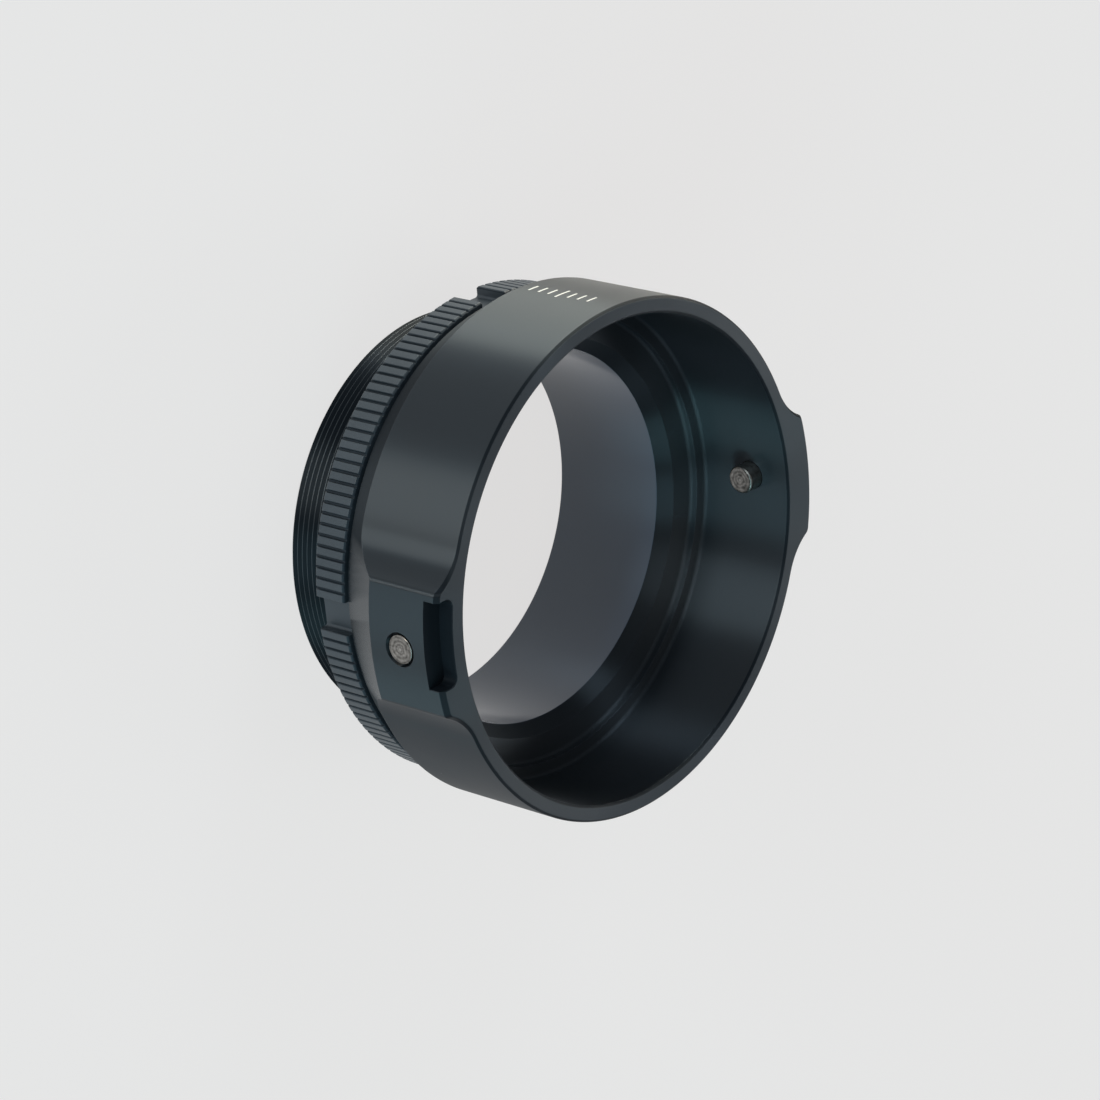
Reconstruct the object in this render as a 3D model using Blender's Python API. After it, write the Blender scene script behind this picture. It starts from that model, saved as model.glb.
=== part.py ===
"""Lens adapter ring: a turned socket body with two bayonet pins and a knurled lock ring.

The ring stands on its rear end: the thread is at the bottom and the socket opens upwards.
The origin is the centre of the rear end face, +X runs through the two pads and +Z forwards.
"""
import math

import bmesh
import bpy

MM = 0.001
CLEARANCE = 0.3 * MM

# Rear neck: its thread, drawn here as the plain outer cylinder, and the bore inside it
THREAD_DIAMETER = 65.0 * MM
THREAD_CHAMFER = 0.7 * MM
NECK_LENGTH = 17.0 * MM
NECK_WALL = 3.3 * MM
RELIEF_DEPTH = 0.8 * MM
RELIEF_WIDTH = 1.5 * MM
REAR_BORE_EDGE = 0.3 * MM

# Stepped socket: a deep bore, a ledge, a short step down and the seat
SOCKET_DEPTH = 16.7 * MM
SOCKET_EDGE = 0.35 * MM
LEDGE_WIDTH = 2.1 * MM
LEDGE_HEIGHT = 1.3 * MM
SEAT_OVERHANG = 2.8 * MM
SEAT_CHAMFER = 1.9 * MM
SEAT_FLOOR = 5.0 * MM
STEP_FILLET = 0.6 * MM

# Barrel round the socket, with a cone behind it
RIM_WALL = 2.6 * MM
BARREL_EDGE = 0.35 * MM
CONE_LENGTH = 4.2 * MM
CONE_ANGLE = math.radians(31.0)

# Pads on the left and the right of the barrel, with a cove on either side of each
PAD_HEIGHT = 3.4 * MM
PAD_WIDTH = 19.2 * MM
PAD_EDGE = 0.7 * MM
PAD_CORNER_RADIUS = 1.1 * MM
COVE_RADIUS = 10.0 * MM

# Key slot in the front corner of the left pad
SLOT_WIDTH = 13.4 * MM
SLOT_OFFSET = 1.5 * MM
SLOT_LENGTH = 2.5 * MM
SLOT_FILLET = 1.3 * MM

# Lock ring
RING_WIDTH = 5.8 * MM
RING_HEIGHT = 5.7 * MM
RING_EDGE = 0.3 * MM
RING_BORE_EDGE = 0.4 * MM
RING_TURN = math.radians(1.1)
KNURL_COUNT = 148
KNURL_DEPTH = 0.35 * MM
KNURL_WIDTH = 0.62 * MM
NOTCH_COUNT = 4
NOTCH_WIDTH = 5.2 * MM
NOTCH_DEPTH = 1.8 * MM
NOTCH_FILLET = 0.45 * MM

# Bayonet pins
PIN_DIAMETER = 4.5 * MM
PIN_DEPTH = 7.4 * MM
PIN_REACH = 2.7 * MM
PIN_RECESS = 0.1 * MM
PIN_TIP_CHAMFER = 0.5 * MM
PIN_HEAD_CHAMFER = 0.12 * MM
PIN_HOLE_EDGE = 0.3 * MM

# Steps of the round stretches
BARREL_STEPS = 20
COVE_STEPS = 6
CORNER_STEPS = 3
PAD_STEPS = 4
FILLET_STEPS = 3
RING_BORE_STEPS = 96
PIN_STEPS = 28
CUTTER_MARGIN = 2.0 * MM

# Radii, from the thread outwards
THREAD_RADIUS = THREAD_DIAMETER / 2
RELIEF_RADIUS = THREAD_RADIUS - RELIEF_DEPTH
REAR_BORE_RADIUS = THREAD_RADIUS - NECK_WALL
SEAT_RADIUS = THREAD_RADIUS + SEAT_OVERHANG
SOCKET_RADIUS = SEAT_RADIUS + LEDGE_WIDTH
BARREL_RADIUS = SOCKET_RADIUS + RIM_WALL
PAD_RADIUS = BARREL_RADIUS + PAD_HEIGHT
CONE_END_RADIUS = BARREL_RADIUS - CONE_LENGTH * math.tan(CONE_ANGLE)
RING_RADIUS = THREAD_RADIUS + RING_HEIGHT
RING_BORE_RADIUS = THREAD_RADIUS + CLEARANCE
PIN_RADIUS = PIN_DIAMETER / 2

# Heights, from the rear end forwards
RING_BACK = NECK_LENGTH - CLEARANCE - RING_WIDTH
SEAT_LEVEL = NECK_LENGTH + SEAT_FLOOR
LEDGE_LEVEL = SEAT_LEVEL + LEDGE_HEIGHT
FRONT = LEDGE_LEVEL + SOCKET_DEPTH
PIN_LEVEL = FRONT - PIN_DEPTH


def arc(centre, radius, start, end, steps):
    """Points on an arc, taking the shorter way round from start to end."""
    sweep = (end - start + math.pi) % (2 * math.pi) - math.pi
    angles = [start + sweep * i / steps for i in range(steps + 1)]
    return [(centre[0] + radius * math.cos(a), centre[1] + radius * math.sin(a)) for a in angles]


def polar(radius, angle):
    return (radius * math.cos(angle), radius * math.sin(angle))


def circle(radius, z, steps):
    return [(*polar(radius, 2 * math.pi * i / steps), z) for i in range(steps)]


def loft(name, rows, closed=False):
    """Skin loops of equally many points, and cap the two ends or join them when closed."""
    bm = bmesh.new()
    loops = [[bm.verts.new(point) for point in row] for row in rows]
    following = loops[1:] + loops[:1] if closed else loops[1:]
    for low, high in zip(loops, following):
        for i, start in enumerate(low):
            j = (i + 1) % len(low)
            bm.faces.new((start, low[j], high[j], high[i]))
    if not closed:
        bm.faces.new(list(reversed(loops[0])))
        bm.faces.new(loops[-1])
    bmesh.ops.recalc_face_normals(bm, faces=bm.faces)
    mesh = bpy.data.meshes.new(name)
    bm.to_mesh(mesh)
    bm.free()
    obj = bpy.data.objects.new(name, mesh)
    bpy.context.collection.objects.link(obj)
    return obj


def turned(name, profile, steps):
    """A solid of revolution from (radius, height) pairs, with flat ends."""
    return loft(name, [circle(radius, z, steps) for radius, z in profile])


def cut(obj, cutter):
    """Take the cutter away from obj."""
    cutter.hide_render = True
    cutter.display_type = "WIRE"
    modifier = obj.modifiers.new(cutter.name, "BOOLEAN")
    modifier.operation = "DIFFERENCE"
    modifier.solver = "EXACT"
    modifier.object = cutter


def finish(obj, colour, roughness, metallic, sharp_degrees=30.0):
    """Give obj its own material, and smooth shading up to the sharp edges."""
    material = bpy.data.materials.new(obj.name)
    material.use_nodes = True
    shader = material.node_tree.nodes["Principled BSDF"]
    shader.inputs["Base Color"].default_value = (*colour, 1.0)
    shader.inputs["Roughness"].default_value = roughness
    shader.inputs["Metallic"].default_value = metallic
    obj.data.materials.append(material)
    obj.data.shade_smooth()
    obj.data.set_sharp_from_angle(angle=math.radians(sharp_degrees))


def barrel_quarter():
    """Outline of a quarter of the barrel, from the middle of a pad to the plain side."""
    cove_centre_radius = BARREL_RADIUS + COVE_RADIUS
    pad_edge_angle = math.asin(PAD_WIDTH / 2 / PAD_RADIUS)
    cove_span = math.acos((cove_centre_radius**2 + PAD_RADIUS**2 - COVE_RADIUS**2)
                          / (2 * cove_centre_radius * PAD_RADIUS))
    cove_angle = pad_edge_angle + cove_span
    cove_centre = polar(cove_centre_radius, cove_angle)

    corner_centre_radius = PAD_RADIUS - PAD_CORNER_RADIUS
    corner_to_cove = COVE_RADIUS + PAD_CORNER_RADIUS
    corner_span = math.acos((corner_centre_radius**2 + cove_centre_radius**2 - corner_to_cove**2)
                            / (2 * corner_centre_radius * cove_centre_radius))
    corner_angle = cove_angle - corner_span
    corner_centre = polar(corner_centre_radius, corner_angle)
    towards_cove = math.atan2(cove_centre[1] - corner_centre[1], cove_centre[0] - corner_centre[0])

    pad = arc((0, 0), PAD_RADIUS, 0, corner_angle, PAD_STEPS)
    corner = arc(corner_centre, PAD_CORNER_RADIUS, corner_angle, towards_cove, CORNER_STEPS)
    cove = arc(cove_centre, COVE_RADIUS, towards_cove + math.pi, cove_angle + math.pi, COVE_STEPS)
    side = arc((0, 0), BARREL_RADIUS, cove_angle, math.pi / 2, BARREL_STEPS)
    return pad + corner[1:] + cove[1:] + side[1:]


def barrel_outline():
    """(angle, radius) all the way round, from four mirrored quarters."""
    quarter = [(math.atan2(y, x), math.hypot(x, y)) for x, y in barrel_quarter()]
    half = quarter + [(math.pi - angle, radius) for angle, radius in reversed(quarter[:-1])]
    return half + [(angle + math.pi, radius) for angle, radius in half[1:-1]]


def step_profile():
    """Bore from the rear end up to the front rim, with rounded inner corners at both steps."""
    seat_corner = (SEAT_RADIUS - STEP_FILLET, SEAT_LEVEL + STEP_FILLET)
    ledge_corner = (SOCKET_RADIUS - STEP_FILLET, LEDGE_LEVEL + STEP_FILLET)
    points = [
        (REAR_BORE_RADIUS + REAR_BORE_EDGE, 0),
        (REAR_BORE_RADIUS, REAR_BORE_EDGE),
        (REAR_BORE_RADIUS, SEAT_LEVEL - SEAT_CHAMFER),
        (REAR_BORE_RADIUS + SEAT_CHAMFER, SEAT_LEVEL),
    ]
    points += arc(seat_corner, STEP_FILLET, -math.pi / 2, 0, FILLET_STEPS)
    points.append((SEAT_RADIUS, LEDGE_LEVEL))
    points += arc(ledge_corner, STEP_FILLET, -math.pi / 2, 0, FILLET_STEPS)
    points += [(SOCKET_RADIUS, FRONT - SOCKET_EDGE), (SOCKET_RADIUS + SOCKET_EDGE, FRONT)]
    return points


def outer_profile(radius):
    """Outside from the front rim down to the rear end, where the barrel has this radius."""
    rise = (radius - BARREL_RADIUS) / (PAD_RADIUS - BARREL_RADIUS)
    edge = BARREL_EDGE + (PAD_EDGE - BARREL_EDGE) * rise
    cone_start = NECK_LENGTH + (radius - CONE_END_RADIUS) / math.tan(CONE_ANGLE)
    relief_end = NECK_LENGTH - RELIEF_WIDTH
    return [
        (radius - edge, FRONT),
        (radius, FRONT - edge),
        (radius, cone_start),
        (CONE_END_RADIUS, NECK_LENGTH),
        (RELIEF_RADIUS, NECK_LENGTH),
        (RELIEF_RADIUS, relief_end),
        (THREAD_RADIUS, relief_end - RELIEF_DEPTH),
        (THREAD_RADIUS, THREAD_CHAMFER),
        (THREAD_RADIUS - THREAD_CHAMFER, 0),
    ]


def slot_cutter():
    """Slot as wide as its two walls, down to the barrel's own surface, with rounded corners."""
    low_wall = SLOT_OFFSET - SLOT_WIDTH / 2
    high_wall = SLOT_OFFSET + SLOT_WIDTH / 2
    outside = -(PAD_RADIUS + CUTTER_MARGIN)

    def corner(wall, side):
        centre_y = wall - side * SLOT_FILLET
        centre_x = -math.sqrt((BARREL_RADIUS + SLOT_FILLET) ** 2 - centre_y**2)
        towards_axis = math.atan2(-centre_y, -centre_x)
        return arc((centre_x, centre_y), SLOT_FILLET, side * math.pi / 2, towards_axis, FILLET_STEPS)

    high = corner(high_wall, 1)
    low = list(reversed(corner(low_wall, -1)))
    floor_start = math.atan2(high[-1][1], high[-1][0])
    floor_end = math.atan2(low[0][1], low[0][0])
    floor = arc((0, 0), BARREL_RADIUS, floor_start, floor_end, PAD_STEPS)
    outline = [(outside, high_wall)] + high + floor[1:-1] + low + [(outside, low_wall)]
    heights = (FRONT - SLOT_LENGTH, FRONT + CUTTER_MARGIN)
    return loft("slot_cutter", [[(x, y, z) for x, y in outline] for z in heights])


def pin_place(obj, side):
    """Lay a piece turned about Z along the pin axis, pointing out through one pad."""
    obj.rotation_euler = (0, side * math.pi / 2, 0)
    obj.location = (0, 0, PIN_LEVEL)


def pin_hole_cutter(name, side):
    radius = PIN_RADIUS + CLEARANCE
    flare = PIN_HOLE_EDGE + CUTTER_MARGIN
    profile = [
        (radius, SOCKET_RADIUS - CUTTER_MARGIN),
        (radius, PAD_RADIUS - PIN_HOLE_EDGE),
        (radius + flare, PAD_RADIUS + CUTTER_MARGIN),
    ]
    cutter = turned(name, profile, PIN_STEPS)
    pin_place(cutter, side)
    return cutter


def make_body():
    columns = barrel_outline()
    profiles = [outer_profile(radius) + step_profile() for angle, radius in columns]
    rows = [
        [(*polar(profile[row][0], angle), profile[row][1])
         for (angle, radius), profile in zip(columns, profiles)]
        for row in range(len(profiles[0]))
    ]
    body = loft("adapter_body", rows, closed=True)
    cut(body, slot_cutter())
    cut(body, pin_hole_cutter("pin_hole_right", 1))
    cut(body, pin_hole_cutter("pin_hole_left", -1))
    finish(body, (0.020, 0.022, 0.026), 0.38, 0.55)


def make_pin(name, side):
    """Dowel pressed in through a pad, with its chamfered tip inside the socket."""
    tip = SOCKET_RADIUS - PIN_REACH
    head = PAD_RADIUS - PIN_RECESS
    profile = [
        (PIN_RADIUS - PIN_TIP_CHAMFER, tip),
        (PIN_RADIUS, tip + PIN_TIP_CHAMFER),
        (PIN_RADIUS, head - PIN_HEAD_CHAMFER),
        (PIN_RADIUS - PIN_HEAD_CHAMFER, head),
    ]
    pin = turned(name, profile, PIN_STEPS)
    pin_place(pin, side)
    finish(pin, (0.55, 0.54, 0.52), 0.32, 1.0)


def knurl_outline():
    """(angle, radius) round the ring, with a straight V groove between every two ribs."""
    pitch = 2 * math.pi / KNURL_COUNT
    half_groove = KNURL_WIDTH / 2 / RING_RADIUS
    outline = []
    for k in range(KNURL_COUNT):
        middle = (k + 0.5) * pitch
        outline += [
            (middle - half_groove, RING_RADIUS),
            (middle, RING_RADIUS - KNURL_DEPTH),
            (middle + half_groove, RING_RADIUS),
        ]
    return outline


def notch_cutter(index):
    """Flat-bottomed notch with rounded inner corners, right through the ring's width."""
    floor = RING_RADIUS - NOTCH_DEPTH
    half = NOTCH_WIDTH / 2
    outside = RING_RADIUS + CUTTER_MARGIN
    low = arc((floor + NOTCH_FILLET, NOTCH_FILLET - half), NOTCH_FILLET, -math.pi / 2, -math.pi,
              FILLET_STEPS)
    high = [(x, -y) for x, y in reversed(low)]
    outline = [(outside, -half)] + low + high + [(outside, half)]
    heights = (-CUTTER_MARGIN, RING_WIDTH + CUTTER_MARGIN)
    cutter = loft(f"notch_cutter_{index}", [[(x, y, z) for x, y in outline] for z in heights])
    cutter.location = (0, 0, RING_BACK)
    cutter.rotation_euler = (0, 0, RING_TURN + 2 * math.pi * index / NOTCH_COUNT)
    return cutter


def ring_bore_cutter():
    """Bore with a chamfer at each end."""
    flare = RING_BORE_EDGE + CUTTER_MARGIN
    profile = [
        (RING_BORE_RADIUS + flare, -CUTTER_MARGIN),
        (RING_BORE_RADIUS, RING_BORE_EDGE),
        (RING_BORE_RADIUS, RING_WIDTH - RING_BORE_EDGE),
        (RING_BORE_RADIUS + flare, RING_WIDTH + CUTTER_MARGIN),
    ]
    cutter = turned("ring_bore_cutter", profile, RING_BORE_STEPS)
    cutter.location = (0, 0, RING_BACK)
    return cutter


def make_ring():
    """Knurled blank, chamfered at both ends, then bored and notched."""
    outline = knurl_outline()
    top_radius = RING_RADIUS - RING_EDGE

    def row(limit, z):
        return [(*polar(min(radius, limit), angle), z) for angle, radius in outline]

    rows = [
        row(top_radius, 0),
        row(RING_RADIUS, RING_EDGE),
        row(RING_RADIUS, RING_WIDTH - RING_EDGE),
        row(top_radius, RING_WIDTH),
    ]
    ring = loft("lock_ring", rows)
    ring.location = (0, 0, RING_BACK)
    ring.rotation_euler = (0, 0, RING_TURN)
    cut(ring, ring_bore_cutter())
    for index in range(NOTCH_COUNT):
        cut(ring, notch_cutter(index))
    finish(ring, (0.018, 0.020, 0.024), 0.45, 0.5)


def main():
    for obj in list(bpy.data.objects):
        bpy.data.objects.remove(obj)
    make_body()
    make_pin("bayonet_pin_right", 1)
    make_pin("bayonet_pin_left", -1)
    make_ring()


main()
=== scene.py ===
"""Looks of the lens adapter ring: fine turned surfaces, a cut thread, satin black finish and light.

Lengths are in metres, and in the materials in millimetres. The main sizes come from the frame,
the others are named here.
Inside this script a profile is a list of (radius, height) pairs about the ring's axis.
"""
import math

import bmesh
import bpy
from mathutils import Matrix, Vector


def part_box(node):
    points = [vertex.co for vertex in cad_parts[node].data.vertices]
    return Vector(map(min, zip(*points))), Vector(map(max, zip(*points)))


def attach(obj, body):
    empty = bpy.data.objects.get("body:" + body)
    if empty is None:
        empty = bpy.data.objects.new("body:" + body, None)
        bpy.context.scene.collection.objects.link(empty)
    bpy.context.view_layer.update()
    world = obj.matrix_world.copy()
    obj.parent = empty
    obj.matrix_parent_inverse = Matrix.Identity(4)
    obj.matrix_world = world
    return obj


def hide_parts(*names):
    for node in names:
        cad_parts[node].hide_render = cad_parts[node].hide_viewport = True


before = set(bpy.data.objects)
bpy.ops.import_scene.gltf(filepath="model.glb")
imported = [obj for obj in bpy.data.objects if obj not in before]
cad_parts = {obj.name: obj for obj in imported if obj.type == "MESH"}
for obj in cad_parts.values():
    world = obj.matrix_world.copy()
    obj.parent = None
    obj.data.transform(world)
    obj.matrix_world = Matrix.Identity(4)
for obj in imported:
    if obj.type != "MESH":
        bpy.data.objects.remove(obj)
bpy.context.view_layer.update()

MM = 0.001
body_low, body_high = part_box("adapter_body")
ring_low, ring_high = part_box("lock_ring")
pin_low, pin_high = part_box("bayonet_pin_right")

# Sizes from the frame
FRONT = body_high.z
PAD_RADIUS = body_high.x
BARREL_RADIUS = body_high.y
RING_BACK = ring_low.z
RING_WIDTH = ring_high.z - ring_low.z
PIN_TIP = pin_low.x
PIN_HEAD = pin_high.x
PIN_RADIUS = (pin_high.z - pin_low.z) / 2
PIN_LEVEL = (pin_high.z + pin_low.z) / 2

# Clearances and edges
CLEARANCE = 0.3 * MM
EASE = 0.09 * MM
EASE_SHARE = 0.45
FLAT_MARGIN = 0.25 * MM
EASE_TURN = math.radians(24)
EASE_STEP = math.radians(24)
SHARP_ANGLE = math.radians(29.0)

# Neck and thread
THREAD_RADIUS = 32.5 * MM
THREAD_PITCH = 1.0 * MM
THREAD_DEPTH = 0.6 * MM
THREAD_CHAMFER = 0.7 * MM
NECK_LENGTH = RING_BACK + RING_WIDTH + CLEARANCE
NECK_WALL = 3.3 * MM
RELIEF_DEPTH = 0.8 * MM
RELIEF_WIDTH = 1.5 * MM
REAR_BORE_EDGE = 0.3 * MM

# Socket
RIM_WALL = 2.6 * MM
SOCKET_DEPTH = 16.7 * MM
SOCKET_EDGE = 0.35 * MM
LEDGE_WIDTH = 2.1 * MM
LEDGE_HEIGHT = 1.3 * MM
SEAT_CHAMFER = 1.9 * MM
STEP_FILLET = 0.6 * MM

# Barrel, cone and pads
BARREL_EDGE = 0.35 * MM
CONE_LENGTH = 4.2 * MM
CONE_ANGLE = math.radians(31.0)
PAD_WIDTH = 19.2 * MM
PAD_EDGE = 0.7 * MM
PAD_CORNER_RADIUS = 1.1 * MM
COVE_RADIUS = 10.0 * MM

# Key slot
SLOT_WIDTH = 13.4 * MM
SLOT_OFFSET = 1.5 * MM
SLOT_LENGTH = 2.5 * MM
SLOT_FILLET = 1.3 * MM
SLOT_EDGE = 0.12 * MM

# Lock ring
RING_HEIGHT = 5.7 * MM
RING_EDGE = 0.3 * MM
RING_BORE_EDGE = 0.4 * MM
RING_TURN = math.radians(1.1)
KNURL_COUNT = 148
KNURL_DEPTH = 0.35 * MM
KNURL_WIDTH = 0.56 * MM
KNURL_FLOOR = 0.26 * MM
KNURL_EASE = 0.05 * MM
RIB_CROWN = 0.2
NOTCH_COUNT = 4
NOTCH_WIDTH = 5.2 * MM
NOTCH_DEPTH = 1.8 * MM
NOTCH_FILLET = 0.45 * MM

# Pins
PIN_TIP_CHAMFER = 0.22 * MM
PIN_HEAD_CHAMFER = 0.12 * MM
PIN_HOLE_EDGE = 0.06 * MM
PIN_GAP = 0.42 * MM
PIN_GAP_DEPTH = 1.2 * MM
PIN_FIT = 0.08 * MM

# Short scale of plain white ticks on top of the barrel
MARK_ANGLE = math.radians(88.5)
MARK_LEVEL = FRONT - 11.0 * MM
MARK_COUNT = 7
MARK_SPACING = 1.9 * MM
MARK_WIDTH = 0.36 * MM
MARK_LENGTH = 2.2 * MM
MARK_EXTRA = 0.6 * MM
MARK_COLOUR = (0.70, 0.70, 0.67, 1)

# Colours of the finish. Where there are two, a noise runs from one to the other.
BLACK_TONES = ((0.0030, 0.0048, 0.0070, 1), (0.0050, 0.0074, 0.0102, 1))
KNURLED_TONES = ((0.0110, 0.0155, 0.0210, 1), (0.0170, 0.0235, 0.0305, 1))
STEEL_TONES = ((0.060, 0.057, 0.053, 1), (0.33, 0.32, 0.305, 1))
WORN_COLOUR = (0.055, 0.066, 0.077, 1)
SPECK_COLOUR = (0.40, 0.41, 0.41, 1)
SPECK_COVER = 0.6
MATT_BLACK = (0.0040, 0.0060, 0.0085, 1)
# Painted reflection: the rear bore's lighter, bluish colour
REAR_BORE_PAINTED_REFLECTION = (0.016, 0.044, 0.088, 1)
SHEEN_COLOUR = (0.78, 0.90, 1.0, 1)
# Painted shade: the darker sheen of the slot, the chamfers facing up, the cone away from the pads
# and the knurl's grooves
PAINTED_SHADE_SHEEN_COLOUR = (0.12, 0.15, 0.18, 1)

# Gloss of the finish
ANODISED_SPECULAR = 0.8
ANODISED_ROUGHNESS = (0.40, 0.44)
ANODISED_GRAIN = (-0.02, 0.03)
KNURLED_SPECULAR = 0.75
KNURLED_ROUGHNESS = (0.40, 0.48)
KNURLED_GRAIN = (-0.03, 0.04)
STEEL_ROUGHNESS = (0.42, 0.30)
MATT_ROUGHNESS = 0.80
LATHE_ANISOTROPY = 1.0
ACROSS_THE_LATHE = 0.25
REAR_BORE_POLISH = 0.18
REAR_BORE_IOR = 1.45

# How matt the edges and the cone are, and how much painted shade darkens their sheen: 0 is satin
# like the rest, and 1 is fully matt with the darkest sheen. A groove in the knurl gets only the
# painted shade, from above 1 at its floor down to 0 at the ribs, so its lower part is fully shaded.
EDGE_MATT_AND_SHADE = 0.72
LEDGE_MATT_AND_SHADE = 0.0
SEAT_MATT_AND_SHADE = 0.35
CONE_MATT_AND_SHADE = 0.75
GROOVE_SHADE = 1.3
CONE_FADE = 3.0 * MM
SMOOTH_CONE_ROUGHNESS = 0.24

# How much a surface leans up: none of the mask, all from here, all to here, none again
EDGE_LEAN = (0.30, 0.50, 0.86, 0.96)
CONE_LEAN = (-0.75, -0.65, -0.40, -0.30)
MASK_MARGIN = 0.02 * MM

# Parts of a noise's range, from 0 to 1, that are spread over the whole of an effect
NOISE_CORE = (0.35, 0.65)
NOISE_MIDDLE = (0.3, 0.7)
NOISE_WIDE = (0.25, 0.75)
NOISE_FULL = (0.2, 0.8)

# Wear on the ribs: the part of the noise's range, and how much of the worn colour it gives
WEAR_NOISE = (0.42, 0.75)
WEAR_SHARE = (0.1, 0.6)

# The lathe's lines follow each other along z on a wall, and a little further apart along the
# radius on a face
LATHE_SLOPE = 0.83

# Rings of the facing cut on the pins' ends, and the size of a painted highlight at their middle, in
# millimetres
FACING_SPACING = 0.62
FACING_WANDER = 0.4
PAINTED_HIGHLIGHT_RADIUS = 0.18

# Share that the pins' stains and rings have in their colour and in their relief
STAIN_TONE = 0.6
FACING_TONE = 0.4
STAIN_RELIEF = 2.0
FACING_RELIEF = 0.5

# Steps of the round stretches
BARREL_STEPS = 64
COVE_STEPS = 14
CORNER_STEPS = 8
PAD_STEPS = 12
FILLET_STEPS = 7
PIN_STEPS = 96
CUTTER_MARGIN = 2.0 * MM
MERGE = 1e-7

# Radii and levels that follow from the sizes
SOCKET_RADIUS = BARREL_RADIUS - RIM_WALL
SEAT_RADIUS = SOCKET_RADIUS - LEDGE_WIDTH
REAR_BORE_RADIUS = THREAD_RADIUS - NECK_WALL
RELIEF_RADIUS = THREAD_RADIUS - RELIEF_DEPTH
CONE_END_RADIUS = BARREL_RADIUS - CONE_LENGTH * math.tan(CONE_ANGLE)
LEDGE_LEVEL = FRONT - SOCKET_DEPTH
SEAT_LEVEL = LEDGE_LEVEL - LEDGE_HEIGHT
RING_RADIUS = THREAD_RADIUS + RING_HEIGHT
RING_BORE_RADIUS = THREAD_RADIUS + CLEARANCE
THREAD_ROOT = THREAD_RADIUS - THREAD_DEPTH

# One pitch of the thread: how far along the pitch, and how far below the crest
THREAD_SHAPE = [(0.0, 0.03), (0.06, 0.0), (0.12, 0.03), (0.42, 0.94), (0.56, 1.0), (0.70, 0.94)]


def arc(centre, radius, start, end, steps):
    """Points on an arc, taking the shorter way round from start to end."""
    sweep = (end - start + math.pi) % (2 * math.pi) - math.pi
    angles = [start + sweep * i / steps for i in range(steps + 1)]
    return [(centre[0] + radius * math.cos(a), centre[1] + radius * math.sin(a)) for a in angles]


def polar(radius, angle):
    return (radius * math.cos(angle), radius * math.sin(angle))


def eased(profile):
    """Round every corner of a profile a little, as a deburred edge is."""
    result = [profile[0]]
    for before, corner, after in zip(profile, profile[1:], profile[2:]):
        corner = Vector(corner)
        back = Vector(before) - corner
        ahead = Vector(after) - corner
        turn = math.pi - back.angle(ahead)
        if turn < EASE_TURN:
            result.append(tuple(corner))
            continue
        start = corner + back.normalized() * min(EASE, back.length * EASE_SHARE)
        end = corner + ahead.normalized() * min(EASE, ahead.length * EASE_SHARE)
        steps = max(2, math.ceil(turn / EASE_STEP))
        for i in range(steps + 1):
            t = i / steps
            point = start * (1 - t) ** 2 + corner * 2 * t * (1 - t) + end * t**2
            result.append(tuple(point))
    return result + [profile[-1]]


def new_object(name, vertices, faces):
    """A mesh object, with doubled points merged and its faces pointing out."""
    mesh = bpy.data.meshes.new(name)
    mesh.from_pydata(vertices, [], faces)
    bm = bmesh.new()
    bm.from_mesh(mesh)
    bmesh.ops.remove_doubles(bm, verts=bm.verts, dist=MERGE)
    bmesh.ops.recalc_face_normals(bm, faces=bm.faces)
    bm.to_mesh(mesh)
    bm.free()
    obj = bpy.data.objects.new(name, mesh)
    bpy.context.collection.objects.link(obj)
    return obj


def loft(name, rows, closed=False):
    """Skin loops of equally many points, and cap the two ends or join them when closed."""
    width = len(rows[0])
    vertices = [point for row in rows for point in row]
    last = len(rows) if closed else len(rows) - 1
    faces = []
    for r in range(last):
        low = r * width
        high = (r + 1) % len(rows) * width
        faces += [(low + i, low + (i + 1) % width, high + (i + 1) % width, high + i)
                  for i in range(width)]
    if not closed:
        faces.append(tuple(reversed(range(width))))
        faces.append(tuple(range(last * width, len(vertices))))
    return new_object(name, vertices, faces)


def turned(name, profile, steps):
    """A solid of revolution from a profile."""
    angles = [2 * math.pi * i / steps for i in range(steps)]
    return loft(name, [[(*polar(radius, a), z) for a in angles] for radius, z in profile])


def cut(obj, *cutters):
    """Take the cutters away from obj for good."""
    for cutter in cutters:
        modifier = obj.modifiers.new("cut", "BOOLEAN")
        modifier.operation = "DIFFERENCE"
        modifier.solver = "EXACT"
        modifier.object = cutter
    bpy.context.view_layer.update()
    evaluated = obj.evaluated_get(bpy.context.evaluated_depsgraph_get())
    mesh = bpy.data.meshes.new_from_object(evaluated)
    obj.modifiers.clear()
    obj.data = mesh
    for cutter in cutters:
        bpy.data.objects.remove(cutter)


def finish_piece(obj, material, body, nodes):
    """Shade obj, give it its material and tie it to the frame."""
    obj.data.materials.clear()
    obj.data.materials.append(material)
    obj.data.shade_smooth()
    obj.data.set_sharp_from_angle(angle=SHARP_ANGLE)
    normals = obj.modifiers.new("normals", "WEIGHTED_NORMAL")
    normals.keep_sharp = True
    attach(obj, body)
    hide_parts(*nodes)


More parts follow.
